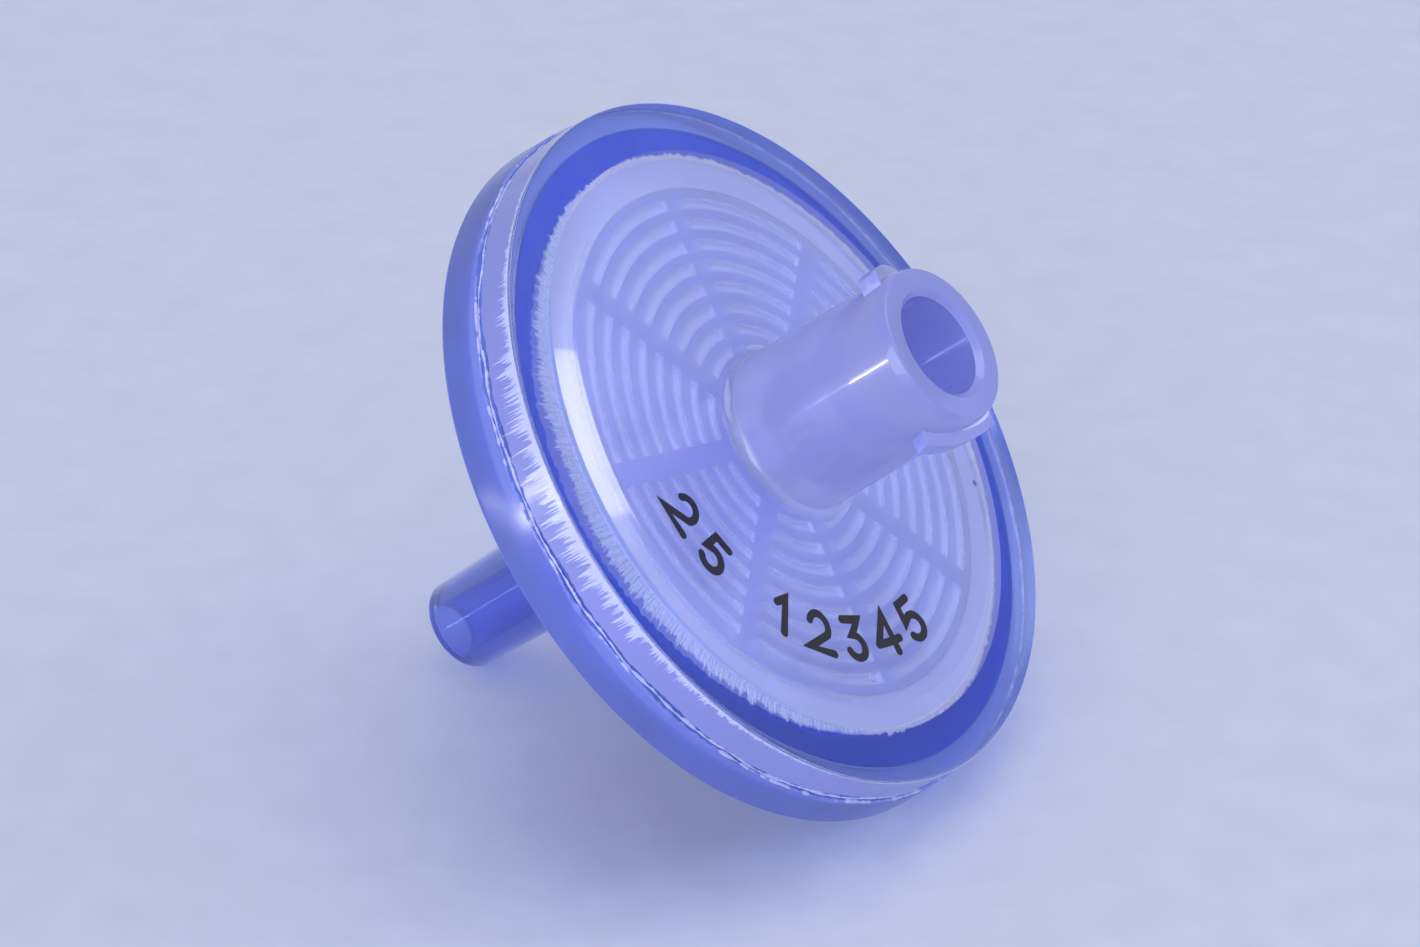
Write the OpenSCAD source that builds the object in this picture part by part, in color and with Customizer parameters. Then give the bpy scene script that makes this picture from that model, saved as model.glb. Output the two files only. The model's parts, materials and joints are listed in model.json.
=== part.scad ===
// Syringe filter with a 25 mm membrane.
// Two clear moulded halves are welded round a thin membrane disc. The inlet half carries a
// female Luer-lock socket with two thread lugs, and the outlet half a male Luer slip nozzle.
// Lengths are in millimetres. Heights are measured along the filter's own axis from the rear
// plane of the rim, positive towards the inlet. The finished filter lies on a table, as it
// comes to rest: on a small flat on the rear edge of its rim and on the tip of its nozzle.

/* [Rim] */
// Outer diameter of the outlet half's rim, at its rear
rim_d = 30.8; // [29.4:0.1:36]
// Draft angle of the outlet half's rim
rim_draft = 2.5; // [0:0.5:5]
// How far the inlet half's rim stands in from the outlet half's at the seam
rim_step = 0.2; // [0.05:0.05:0.4]
// Height of the outlet half's rim
outlet_rim_h = 2; // [1.6:0.1:3]
// Height of the inlet half's rim
inlet_rim_h = 1.6; // [1.2:0.1:2.4]
// Open seam left between the two rims
seam_gap = 0.15; // [0.05:0.05:0.3]
// Rounding of the rim's rear edge
rear_edge_r = 0.3; // [0.2:0.05:0.8]
// Rounding of the rim's front edge
front_edge_r = 0.1; // [0.05:0.05:0.3]
// Depth of the small flat on the rear edge, where the rim rests
rest_flat_h = 0.06; // [0.04:0.01:0.1]

/* [Weld] */
// Width of the inlet half's skirt round the weld
skirt_w = 0.9; // [0.6:0.05:1.1]
// Gap between the skirt and the weld land inside it
skirt_gap = 0.05; // [0.02:0.01:0.1]
// Height of the weld land above the outlet half's rim
land_h = 0.45; // [0.3:0.05:0.8]

/* [Membrane] */
// Diameter of the membrane disc
membrane_d = 25; // [24:0.1:25.6]
// Thickness of the membrane disc
membrane_t = 0.15; // [0.1:0.01:0.25]
// Gap round the membrane in its pocket
pocket_gap = 0.1; // [0.05:0.01:0.2]

/* [Chambers] */
// Diameter of the open chamber on each side of the membrane
chamber_d = 22.6; // [20:0.1:23.4]
// Thickness of the inlet half's face over its chamber
inlet_wall = 1.1; // [0.8:0.05:1.6]
// Thickness of the outlet half's back under its chamber
outlet_wall = 1.1; // [0.8:0.05:1.2]
// Height of the support ribs
rib_h = 0.5; // [0.3:0.05:0.6]
// Width of a ring-shaped support rib
rib_w = 0.5; // [0.35:0.01:0.8]
// Width of the ring-shaped groove between two ribs
groove_w = 0.455; // [0.3:0.005:0.7]
// Diameter of the open well inside the innermost rib
well_d = 7; // [5:0.1:9]
// Number of straight channels that cut the ribs
channel_count = 8; // [4:2:12]
// Width of a channel
channel_w = 1; // [0.6:0.05:1.4]
// Turn of the first channel about the axis, from the side that faces down
channel_turn = 25.3; // [0:0.1:45]

/* [Faces] */
// Width of the flat clear ring round the inlet face
clear_ring_w = 2.2; // [1.6:0.1:2.6]
// Width of the slope from the clear ring up to the inlet face
shoulder_w = 1.1; // [0.5:0.1:2]
// Diameter of the gate mark that the mould leaves on the inlet face
gate_d = 0.5; // [0.3:0.05:0.9]
// Height of the gate mark
gate_h = 0.08; // [0.04:0.01:0.15]
// How far the gate mark's centre stands in from the face's edge
gate_in = 1.1; // [0.8:0.05:2]
// Turn of the gate mark about the axis, from the side that faces down
gate_turn = -29.5; // [-180:0.5:180]
// Width of the flat ring round the recessed back
back_ring_w = 3; // [2:0.1:3.4]
// Width of the slope from the flat ring down into the back
back_slope_w = 0.5; // [0.2:0.1:1]

/* [Inlet socket] */
// Height of the socket above the inlet face
hub_h = 8.55; // [7.6:0.05:12]
// Outer diameter of the socket below its lip
hub_d = 6.76; // [6.2:0.02:7.2]
// Draft angle of the socket's outside
hub_draft = 1; // [0:0.1:2]
// Fillet between the socket and the inlet face
hub_fillet_r = 0.55; // [0.2:0.05:1]
// Height of the tapered lip round the mouth
lip_h = 0.48; // [0.3:0.02:0.7]
// How far the lip draws in at the mouth
lip_in = 0.13; // [0.05:0.01:0.25]
// Diameter of the Luer socket at its mouth
mouth_d = 4.3; // [4.2:0.01:4.4]
// Chamfer of the mouth
mouth_chamfer = 0.25; // [0.05:0.05:0.35]
// Depth of the Luer socket
socket_depth = 7.8; // [7.5:0.1:8.4]
// Diameter of the hole from the socket into the chamber
port_d = 2.4; // [1.6:0.1:3]

/* [Lock lugs] */
// Diameter across the two lugs
lug_d = 7.8; // [7.5:0.05:8.2]
// Width of a lug between its two parallel ends
lug_w = 3.5; // [2.6:0.1:4.4]
// Thickness of a lug along the axis
lug_t = 0.88; // [0.6:0.02:1.1]
// Rise of the lugs' thread in one full turn
lug_lead = 7.5; // [5:0.1:8]
// Height from the middle of a lug's front face up to the mouth
lug_set = 0.97; // [0.8:0.01:1.6]
// Turn of the first lug about the axis, from the side that faces down
lug_turn = -21; // [-180:1:180]

/* [Outlet nozzle] */
// Diameter of the nozzle's tip
tip_d = 3.97; // [3.9:0.01:4.05]
// Length of the nozzle beyond its boss
nozzle_len = 13.2; // [9:0.1:16]
// Rounding of the tip's outer edge
tip_edge_r = 0.2; // [0.05:0.05:0.4]
// Diameter of the bore through the nozzle
bore_d = 2.2; // [1.4:0.1:2.8]
// Diameter of the boss at the nozzle's root
boss_d = 7; // [6:0.1:9]
// Height of the boss above the recessed back
boss_h = 3.2; // [2:0.1:5]
// Rounding of the boss's edge
boss_edge_r = 0.4; // [0.1:0.05:0.8]
// Fillet between the boss and the back
boss_fillet_r = 0.8; // [0.3:0.05:1.5]

/* [Hidden] */
$fn = 120;

// Luer cones narrow by 6 mm of diameter in 100 mm of length
luer_taper = 0.06;
// Overlap that lets a cut or a joined shape pass its neighbour's face
over = 0.05;

inlet_colour = [0.66, 0.68, 0.93];
outlet_colour = [0.45, 0.49, 0.86];
membrane_colour = [0.93, 0.93, 1];

// Radii
rim_r = rim_d / 2;
seam_r = rim_r - outlet_rim_h * tan(rim_draft);
inlet_rim_r = seam_r - rim_step;
skirt_r = inlet_rim_r - skirt_w;
land_r = skirt_r - skirt_gap;
membrane_r = membrane_d / 2;
pocket_r = membrane_r + pocket_gap;
chamber_r = chamber_d / 2;
shoulder_r = inlet_rim_r - clear_ring_w;
face_r = shoulder_r - shoulder_w;
back_r = rim_r - back_ring_w;
recess_r = back_r - back_slope_w;
hub_r = hub_d / 2;
lip_r = hub_r - lip_in;
mouth_r = mouth_d / 2;
boss_r = boss_d / 2;
tip_r = tip_d / 2;

// Heights, from the outlet side to the inlet side
seam_z = outlet_rim_h;
inlet_rim_z = seam_z + seam_gap;
front_z = inlet_rim_z + inlet_rim_h;
weld_z = seam_z + land_h;
seat_z = weld_z - membrane_t;
floor_z = seat_z - rib_h;
back_z = floor_z - outlet_wall;
boss_z = back_z - boss_h;
tip_z = boss_z - nozzle_len;
ceiling_z = weld_z + rib_h;
face_z = ceiling_z + inlet_wall;
mouth_z = face_z + hub_h;
lip_z = mouth_z - lip_h;
lug_z = mouth_z - lug_set;

hub_base_r = hub_r + (lip_z - face_z) * tan(hub_draft);
nozzle_root_r = tip_r + nozzle_len * luer_taper / 2;
socket_end_r = mouth_r - socket_depth * luer_taper / 2;

// Slope of the lugs, where their thread crosses the middle of their height
lug_slope = atan(lug_lead / (PI * (lug_d + hub_d) / 2));

// Lying pose. The rear edge and the tip's edge are arcs in the upright middle plane. The table
// touches the tip's arc and lies rest_r below the centre of the rim's, which the flat cuts.
// span_r and span_z lead from the tip arc's centre to the rim arc's.
rest_r = rear_edge_r - rest_flat_h;
span_r = (rim_r - rear_edge_r) - (tip_r - tip_edge_r);
span_z = rear_edge_r - (tip_z + tip_edge_r);
axis_tilt = atan2(span_r, span_z) - asin((tip_edge_r - rest_r) / norm([span_r, span_z]));
rest_z = (rim_r - rear_edge_r) * cos(axis_tilt) - rear_edge_r * sin(axis_tilt) + rest_r;
// Reach of the lying filter to each side of its rim's rear centre
front_reach = max((inlet_rim_r - front_edge_r) * sin(axis_tilt)
                  + (front_z - front_edge_r) * cos(axis_tilt) + front_edge_r,
                  lip_r * sin(axis_tilt) + mouth_z * cos(axis_tilt));
rear_reach = max((tip_r - tip_edge_r) * sin(axis_tilt)
                 - (tip_z + tip_edge_r) * cos(axis_tilt) + tip_edge_r,
                 (rim_r - rear_edge_r) * sin(axis_tilt) - rear_edge_r * cos(axis_tilt) + rear_edge_r);
rest_x = (rear_reach - front_reach) / 2;

// Lays a filter that stands on its axis down on the table, centred over the origin
module lie_down() {
    translate([rest_x, 0, rest_z])
        rotate([0, 90 - axis_tilt, 0])
            children();
}

// The sliver between a square corner at point p and the arc of radius r inside it.
// The signs in dir point from the arc's centre to the corner. Cut from a solid it rounds the
// corner, and added to a hollow it makes a fillet.
module spandrel(p, r, dir) {
    difference() {
        translate(p - r * dir)
            mirror([dir.x < 0 ? 1 : 0, 0])
                mirror([0, dir.y < 0 ? 1 : 0])
                    square(r + over);
        translate(p - r * dir)
            circle(r);
    }
}

// Ring-shaped ribs from height z0 to z1, cut by straight channels through the axis.
// They are laid out from the chamber's wall inwards, as many as fit outside the well.
module support_ribs(z0, z1) {
    pitch = rib_w + groove_w;
    difference() {
        for (r = [chamber_r - groove_w : -pitch : well_d / 2 + rib_w])
            translate([0, 0, z0])
                difference() {
                    cylinder(h = z1 - z0, r = r);
                    translate([0, 0, -over])
                        cylinder(h = z1 - z0 + 2 * over, r = r - rib_w);
                }
        for (i = [0 : channel_count / 2 - 1])
            rotate(channel_turn + i * 360 / channel_count)
                translate([-chamber_r, -channel_w / 2, z0 - over])
                    cube([2 * chamber_r, channel_w, z1 - z0 + 2 * over]);
    }
}

// One lock lug on the side of the first turn: a slab that leans with the thread, between two
// parallel ends, trimmed to the lugs' circle
module lug() {
    intersection() {
        translate([0, 0, face_z])
            cylinder(h = hub_h, r = lug_d / 2);
        translate([0, 0, lug_z])
            rotate([lug_slope, 0, 0])
                translate([mouth_r + over, -lug_w / 2, -lug_t])
                    cube([lug_d / 2, lug_w, lug_t]);
    }
}

// The small round stub on the inlet face where the mould was filled
module gate_mark() {
    rotate(gate_turn)
        translate([face_r - gate_in, 0, face_z - over])
            cylinder(h = gate_h + over, d = gate_d);
}

// Outline of the inlet half: skirt, rim, shoulder, face and the outside of the socket
module inlet_profile() {
    difference() {
        union() {
            polygon([
                [skirt_r, inlet_rim_z], [inlet_rim_r, inlet_rim_z], [inlet_rim_r, front_z],
                [shoulder_r, front_z], [face_r, face_z], [hub_base_r, face_z],
                [hub_r, lip_z], [lip_r, mouth_z], [0, mouth_z], [0, ceiling_z],
                [chamber_r, ceiling_z], [chamber_r, weld_z], [skirt_r, weld_z]
            ]);
            spandrel([hub_base_r, face_z], hub_fillet_r, [-1, -1]);
        }
        spandrel([inlet_rim_r, front_z], front_edge_r, [1, 1]);
    }
}

// Hollow of the Luer socket, with its chamfered mouth and the port at its foot
module socket_profile() {
    polygon([
        [0, ceiling_z - over], [port_d / 2, ceiling_z - over],
        [port_d / 2, mouth_z - socket_depth], [socket_end_r, mouth_z - socket_depth],
        [mouth_r - mouth_chamfer * luer_taper / 2, mouth_z - mouth_chamfer],
        [mouth_r + mouth_chamfer, mouth_z], [mouth_r + mouth_chamfer, mouth_z + over],
        [0, mouth_z + over]
    ]);
}

// Outline of the outlet half: rim, weld land, membrane pocket, chamber, nozzle and back
module outlet_profile() {
    difference() {
        union() {
            polygon([
                [back_r, 0], [rim_r, 0], [seam_r, seam_z], [land_r, seam_z], [land_r, weld_z],
                [pocket_r, weld_z], [pocket_r, seat_z], [chamber_r, seat_z],
                [chamber_r, floor_z], [0, floor_z], [0, tip_z], [tip_r, tip_z],
                [nozzle_root_r, boss_z], [boss_r, boss_z], [boss_r, back_z], [recess_r, back_z]
            ]);
            spandrel([boss_r, back_z], boss_fillet_r, [-1, 1]);
        }
        spandrel([rim_r, 0], rear_edge_r, [1, -1]);
        spandrel([boss_r, boss_z], boss_edge_r, [1, -1]);
        spandrel([tip_r, tip_z], tip_edge_r, [1, -1]);
    }
}

// Inlet half, moulded in one piece with its socket, lugs, gate mark and support ribs
module inlet_housing() {
    color(inlet_colour)
        lie_down() {
            difference() {
                union() {
                    rotate_extrude()
                        inlet_profile();
                    for (side = [0, 180])
                        rotate(lug_turn + side)
                            lug();
                    gate_mark();
                }
                rotate_extrude()
                    socket_profile();
            }
            support_ribs(weld_z, ceiling_z + over);
        }
}

// Thin membrane disc, held at its edge between the two halves
module filter_membrane() {
    color(membrane_colour)
        lie_down()
            translate([0, 0, seat_z])
                cylinder(h = membrane_t, r = membrane_r);
}

// Outlet half, moulded in one piece with its nozzle and support ribs. The table's plane cuts
// the small flat into the rim.
module outlet_housing() {
    color(outlet_colour)
        difference() {
            lie_down() {
                difference() {
                    rotate_extrude()
                        outlet_profile();
                    translate([0, 0, tip_z - over])
                        cylinder(h = floor_z - tip_z + 2 * over, r = bore_d / 2);
                }
                support_ribs(floor_z - over, seat_z);
            }
            translate([0, -rim_r, -rim_r])
                cube([rim_d, rim_d, rim_r]);
        }
}

inlet_housing();
filter_membrane();
outlet_housing();
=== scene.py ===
"""Looks of a small syringe filter: two clear moulded halves welded round a white membrane disc.

Sizes are in millimetres in the filter's own frame. Its z axis is the filter's axis, positive
towards the inlet socket, z = 0 is the rear plane of the rim, and x points to the side that lies
on the table. A Stand turns that frame into the row frame, in metres.
"""

import itertools
import json
import logging
import math
from abc import ABC, abstractmethod
from collections.abc import Callable
from dataclasses import dataclass, field
from enum import Enum

import bmesh
import bpy
import numpy as np
from mathutils import Matrix, Quaternion, Vector, noise


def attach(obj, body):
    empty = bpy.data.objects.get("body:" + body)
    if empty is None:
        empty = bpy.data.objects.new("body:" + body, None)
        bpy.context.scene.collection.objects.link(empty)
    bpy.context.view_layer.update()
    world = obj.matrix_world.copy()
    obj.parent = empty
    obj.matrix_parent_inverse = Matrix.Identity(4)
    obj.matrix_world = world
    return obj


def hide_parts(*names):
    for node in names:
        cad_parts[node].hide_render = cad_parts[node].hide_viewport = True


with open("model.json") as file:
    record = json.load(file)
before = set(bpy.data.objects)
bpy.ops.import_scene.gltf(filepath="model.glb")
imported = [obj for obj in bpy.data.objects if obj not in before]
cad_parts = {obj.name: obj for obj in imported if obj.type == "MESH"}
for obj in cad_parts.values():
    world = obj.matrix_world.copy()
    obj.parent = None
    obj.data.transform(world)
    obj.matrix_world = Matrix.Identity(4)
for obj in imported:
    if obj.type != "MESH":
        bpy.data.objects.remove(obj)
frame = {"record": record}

MM = 0.001
LUER_TAPER = 0.06
# Meshes: steps round the axis, distance in metres at which points merge, and angles in degrees
TURN_STEPS = 240
MERGE_DISTANCE = 1e-7
ARC_STEP = 12.0
BEVEL_ANGLE = 40.0
SMOOTH_ANGLE = 28.0
# How far an added form is sunk into the wall that carries it, and a cut runs past a form
SUNK, PAST = 0.05, 0.1
# Radii just past the lugs and past the rim, for zones that reach so far
PAST_LUGS_R, PAST_RIM_R = 4.2, 16.0
# The part of a noise's range that finishes use, since it seldom leaves it
NOISE_LOW, NOISE_HIGH = 0.3, 0.7
PLASTIC_IOR = 1.49
# Streaks along the axis and bands round it, in steps per radian and per step of their grain
STREAK_TURNS, STREAK_RISE, BAND_TURNS = 15, 0.12, 1.5
# Steps per millimetre of the broad clouds in clear plastic, and what they leave of its tint
CLOUD_GRAIN, CLOUD_TINT = 0.22, 0.93

Colour = tuple[float, float, float]
Point = tuple[float, float]
Place = tuple[float, float, float]
Socket = bpy.types.NodeSocket

log = logging.getLogger("syringe_filter")


class Join(Enum):
    """How one solid changes another."""

    ADD = "UNION"
    CUT = "DIFFERENCE"
    TRIM = "INTERSECT"


class Pattern(Enum):
    """How the fine relief of a finish runs over the filter."""

    EVEN = "even"
    ALONG_AXIS = "along the axis"
    ROUND_AXIS = "round the axis"


# ---- sizes


@dataclass(frozen=True)
class Sizes:
    """The filter's sizes in millimetres. Names in _r are radii, names in _z heights on the axis."""

    # Rims, with the seam between them
    rim_r: float = 15.4
    seam_r: float = 15.31
    inlet_rim_r: float = 15.11
    rear_edge_r: float = 0.3
    front_edge_r: float = 0.1
    seam_z: float = 2.0
    inlet_rim_z: float = 2.15
    front_z: float = 3.75
    # Weld, between the inlet half's skirt and the outlet half's land
    skirt_r: float = 14.21
    land_r: float = 14.16
    weld_z: float = 2.45
    # Membrane, its pocket and the chamber on each side of it
    membrane_r: float = 12.5
    pocket_r: float = 12.6
    chamber_r: float = 11.3
    seat_z: float = 2.3
    floor_z: float = 1.8
    ceiling_z: float = 2.95
    # Inlet face with its shoulder, and the recessed back
    shoulder_r: float = 12.91
    face_r: float = 11.81
    face_z: float = 4.05
    back_r: float = 12.4
    recess_r: float = 11.9
    back_z: float = 0.7
    # Inlet socket
    hub_r: float = 3.38
    hub_base_r: float = 3.52
    hub_fillet_r: float = 0.55
    lip_r: float = 3.25
    lip_z: float = 12.12
    mouth_z: float = 12.6
    mouth_r: float = 2.15
    mouth_chamfer: float = 0.25
    socket_depth: float = 7.8
    port_r: float = 1.2
    # Outlet nozzle and its boss
    tip_r: float = 1.985
    tip_z: float = -15.7
    tip_edge_r: float = 0.2
    bore_r: float = 1.1
    boss_r: float = 3.5
    boss_z: float = -2.5
    boss_edge_r: float = 0.4
    boss_fillet_r: float = 0.8
    # Gap left between pieces that touch, so that their faces don't coincide
    hairline: float = 0.012

    @property
    def nozzle_root_r(self) -> float:
        """Radius of the nozzle where it leaves its boss."""
        return self.tip_r + (self.boss_z - self.tip_z) * LUER_TAPER / 2

    @property
    def socket_end_r(self) -> float:
        """Radius of the Luer socket at its foot."""
        return self.mouth_r - self.socket_depth * LUER_TAPER / 2


@dataclass(frozen=True)
class Stand:
    """Where the filter lies in the row frame, read from the record's mounts.

    Attributes:
        origin: Centre of the rim's rear plane, in metres.
        axis: Direction of the filter's axis, towards the inlet.
    """

    origin: Vector
    axis: Vector

    @classmethod
    def from_record(cls, sizes: Sizes) -> "Stand":
        """Finds the axis between the tip of the nozzle and the mouth of the socket.

        Args:
            sizes: Sizes that say how far the tip is from the rim's rear plane.

        Returns:
            The filter's place and direction.
        """
        mounts = {m["name"]: Vector(m["pos_m"]) for m in frame["record"]["mounts"]}
        tip, mouth = mounts["outlet_luer_slip"], mounts["inlet_luer_lock"]
        axis = (mouth - tip).normalized()
        return cls(origin=tip - axis * sizes.tip_z * MM, axis=axis)

    @property
    def matrix(self) -> Matrix:
        """Turns the filter's own frame, in metres, into the row frame."""
        across = Vector((0, 1, 0))
        down = across.cross(self.axis)
        turn = Matrix((down, across, self.axis)).transposed()
        return Matrix.Translation(self.origin) @ turn.to_4x4()


# ---- solids


class Solid:
    """A mesh object built from points in millimetres, in the filter's own frame."""

    def __init__(self, name: str, verts: list[Place], faces: list[tuple[int, ...]]) -> None:
        """Makes the mesh, merges points that coincide and turns its faces outwards.

        Args:
            name: Name of the object.
            verts: Points in millimetres.
            faces: Corner numbers of each face.
        """
        mesh = bpy.data.meshes.new(name)
        mesh.from_pydata([tuple(c * MM for c in v) for v in verts], [], faces)
        self.obj = bpy.data.objects.new(name, mesh)
        bpy.context.scene.collection.objects.link(self.obj)
        work = bmesh.new()
        work.from_mesh(mesh)
        bmesh.ops.remove_doubles(work, verts=work.verts, dist=MERGE_DISTANCE)
        bmesh.ops.recalc_face_normals(work, faces=work.faces)
        work.to_mesh(mesh)
        work.free()

    @classmethod
    def turned(cls, name: str, outline: Callable[[float], list[Point]],
               steps: int = TURN_STEPS) -> "Solid":
        """Turns an outline, which may change with the angle, about the axis.

        Args:
            name: Name of the object.
            outline: Gives the outline's points at an angle in radians, as many at each.
            steps: Number of steps round the axis.

        Returns:
            The closed solid.
        """
        verts, faces = [], []
        for i in range(steps):
            angle = 2 * math.pi * i / steps
            ring = outline(angle)
            count = len(ring)
            verts += [(r * math.cos(angle), r * math.sin(angle), z) for r, z in ring]
            here, there = i * count, (i + 1) % steps * count
            for k in range(count):
                m = (k + 1) % count
                faces.append((here + k, here + m, there + m, there + k))
        return cls(name, verts, faces)

    @classmethod
    def box(cls, name: str, low: Place, high: Place) -> "Solid":
        """Makes a plain block between its lowest and its highest corner."""
        faces = [(0, 1, 3, 2), (4, 6, 7, 5), (0, 4, 5, 1), (2, 3, 7, 6), (0, 2, 6, 4), (1, 5, 7, 3)]
        return cls(name, list(itertools.product(*zip(low, high))), faces)

    def move(self, matrix: Matrix) -> None:
        """Moves the points of the mesh, with lengths in metres."""
        self.obj.data.transform(matrix)

    def join(self, other: "Solid", how: Join) -> None:
        """Changes this solid by another one, which is used up.

        Args:
            other: The solid that is added, cut away or kept in common.
            how: What happens to this one.
        """
        step = self.obj.modifiers.new(how.name.lower(), "BOOLEAN")
        step.operation, step.object, step.solver = how.value, other.obj, "MANIFOLD"
        self.settle()
        bpy.data.objects.remove(other.obj)

    def soften(self, radius: float) -> None:
        """Rounds the sharp edges.

        Args:
            radius: Radius of the rounding, in millimetres.
        """
        step = self.obj.modifiers.new("soft", "BEVEL")
        step.width, step.segments, step.limit_method = radius * MM, 3, "ANGLE"
        step.angle_limit = math.radians(BEVEL_ANGLE)
        self.settle()

    def settle(self) -> None:
        """Bakes the modifiers into the mesh."""
        bpy.context.view_layer.update()
        graph = bpy.context.evaluated_depsgraph_get()
        result = bpy.data.meshes.new_from_object(self.obj.evaluated_get(graph))
        self.obj.modifiers.clear()
        old, self.obj.data = self.obj.data, result
        result.name = self.obj.name
        bpy.data.meshes.remove(old)

    def smooth(self, angle: float) -> None:
        """Shades the mesh smoothly, apart from edges sharper than an angle in degrees."""
        mesh = self.obj.data
        mesh.polygons.foreach_set("use_smooth", [True] * len(mesh.polygons))
        mesh.set_sharp_from_angle(angle=math.radians(angle))


@dataclass(frozen=True)
class Corner:
    """A corner of an outline, in millimetres.

    Attributes:
        r: Distance from the axis.
        z: Height along the axis.
        soft: Radius that rounds the corner, or 0 for a sharp one.
    """

    r: float
    z: float
    soft: float = 0.0

    def arc(self, before: "Corner", after: "Corner") -> list[Point]:
        """Points of this corner, rounded between its two neighbours.

        Args:
            before: The corner before this one.
            after: The corner after this one.

        Returns:
            One point for a sharp corner, or the points of the rounding arc.
        """
        if self.soft <= 0:
            return [(self.r, self.z)]
        here = Vector((self.r, self.z))
        a = (Vector((before.r, before.z)) - here).normalized()
        b = (Vector((after.r, after.z)) - here).normalized()
        half = a.angle(b) / 2
        reach = self.soft / math.tan(half)
        centre = here + (a + b).normalized() * (self.soft / math.sin(half))
        start, end = here + a * reach - centre, here + b * reach - centre
        sweep = start.angle_signed(end)
        steps = max(3, math.ceil(abs(sweep) / math.radians(ARC_STEP)))
        points = []
        for i in range(steps + 1):
            turned = start.copy()
            turned.rotate(Matrix.Rotation(-sweep * i / steps, 2))
            points.append(tuple(centre + turned))
        return points


class Outline:
    """A closed outline in the half plane beside the axis."""

    def __init__(self, *corners: Corner) -> None:
        """Keeps the corners, walked once round."""
        self.corners = corners

    def points(self) -> list[Point]:
        """All points of the outline, with its roundings."""
        count = len(self.corners)
        found: list[Point] = []
        for i, corner in enumerate(self.corners):
            found += corner.arc(self.corners[i - 1], self.corners[(i + 1) % count])
        return found

    def lathe(self, name: str, steps: int = TURN_STEPS) -> Solid:
        """Turns the outline about the axis into a closed solid."""
        points = self.points()
        return Solid.turned(name, lambda angle: points, steps)


# ---- finishes


class Shader:
    """A small builder for one material's nodes."""

    def __init__(self, name: str, stand: Stand | None = None) -> None:
        """Starts an empty material.

        Args:
            name: Name of the material.
            stand: Where the filter lies, for a material that follows the filter's own frame.
        """
        self.material = bpy.data.materials.new(name)
        self.material.use_nodes = True
        self.tree = self.material.node_tree
        self.tree.nodes.clear()
        self.coords = self.add("ShaderNodeTexCoord", output="Object")
        if stand is not None:
            self.coords = self.add("ShaderNodeMapping", {
                "Vector": self.coords,
                "Location": stand.matrix.to_translation(),
                "Rotation": stand.matrix.to_euler(),
            }, vector_type="TEXTURE")

    def add(self, kind: str, inputs: dict[str | int, object] | None = None,
            output: str | int = 0, **values: object) -> Socket:
        """Adds a node.

        Args:
            kind: Type of the node.
            inputs: What each input is linked to, or its constant value.
            output: Name or number of the output that is wanted.
            values: Attributes of the node to set.

        Returns:
            The wanted output.
        """
        made = self.tree.nodes.new(kind)
        for key, value in values.items():
            setattr(made, key, value)
        for key, value in (inputs or {}).items():
            if isinstance(value, Socket):
                self.tree.links.new(value, made.inputs[key])
            else:
                made.inputs[key].default_value = value
        return made.outputs[output]

    def finish(self, surface: Socket) -> bpy.types.Material:
        """Gives the material its surface and returns it."""
        end = self.tree.nodes.new("ShaderNodeOutputMaterial")
        self.tree.links.new(surface, end.inputs["Surface"])
        return self.material

    def millimetres(self, grain: float) -> Socket:
        """Coordinates with a number of steps per millimetre."""
        return self.add("ShaderNodeMapping", {"Vector": self.coords, "Scale": (grain / MM,) * 3})

    def polar(self, turns: float, rise: float, reach: float) -> Socket:
        """Coordinates round the axis, for marks that run along or round it.

        Args:
            turns: Steps per radian round the axis.
            rise: Steps per millimetre of height.
            reach: Steps per millimetre away from the axis.

        Returns:
            The coordinates, with the angle on a circle so that they close up.
        """
        x, y, z = self.add("ShaderNodeSeparateXYZ", {0: self.coords}).node.outputs
        flat = self.add("ShaderNodeCombineXYZ", {"X": x, "Y": y})
        away = self.add("ShaderNodeVectorMath", {0: flat}, "Value", operation="LENGTH")
        unit = self.add("ShaderNodeVectorMath", {0: flat}, operation="NORMALIZE")
        circle = self.add("ShaderNodeVectorMath", {0: unit, "Scale": turns}, operation="SCALE")
        height = self.add("ShaderNodeMath", {0: z, 1: rise / MM}, operation="MULTIPLY")
        radius = self.add("ShaderNodeMath", {0: away, 1: reach / MM}, operation="MULTIPLY")
        both = self.add("ShaderNodeMath", {0: height, 1: radius}, operation="ADD")
        lift = self.add("ShaderNodeCombineXYZ", {"Z": both})
        return self.add("ShaderNodeVectorMath", {0: circle, 1: lift}, operation="ADD")

    def noise(self, where: Socket, detail: float) -> Socket:
        """Soft noise from 0 to 1 over coordinates, with a number of finer layers."""
        inputs = {"Vector": where, "Scale": 1.0, "Detail": detail}
        return self.add("ShaderNodeTexNoise", inputs, "Fac")

    def between(self, marks: Socket, low: float, high: float) -> Socket:
        """A value from low to high that follows a noise."""
        ends = {"From Min": NOISE_LOW, "From Max": NOISE_HIGH, "To Min": low, "To Max": high}
        return self.add("ShaderNodeMapRange", {"Value": marks, **ends}, "Result")

    def blend(self, marks: Socket, dark: Colour, light: Colour) -> Socket:
        """Blends two colours by a noise.

        Args:
            marks: The noise, from 0 to 1.
            dark: Colour at the noise's low end.
            light: Colour at the noise's high end.

        Returns:
            The blended colour.
        """
        colour = self.add("ShaderNodeValToRGB", {"Fac": marks}, "Color")
        first, last = colour.node.color_ramp.elements
        first.position, first.color = NOISE_LOW, (*dark, 1)
        last.position, last.color = NOISE_HIGH, (*light, 1)
        return colour

    def bump(self, marks: Socket, depth: float) -> Socket:
        """Normals bent by a relief that follows a noise, as deep as given in millimetres."""
        inputs = {"Height": marks, "Strength": 1.0, "Distance": depth * MM}
        return self.add("ShaderNodeBump", inputs, "Normal")


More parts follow.
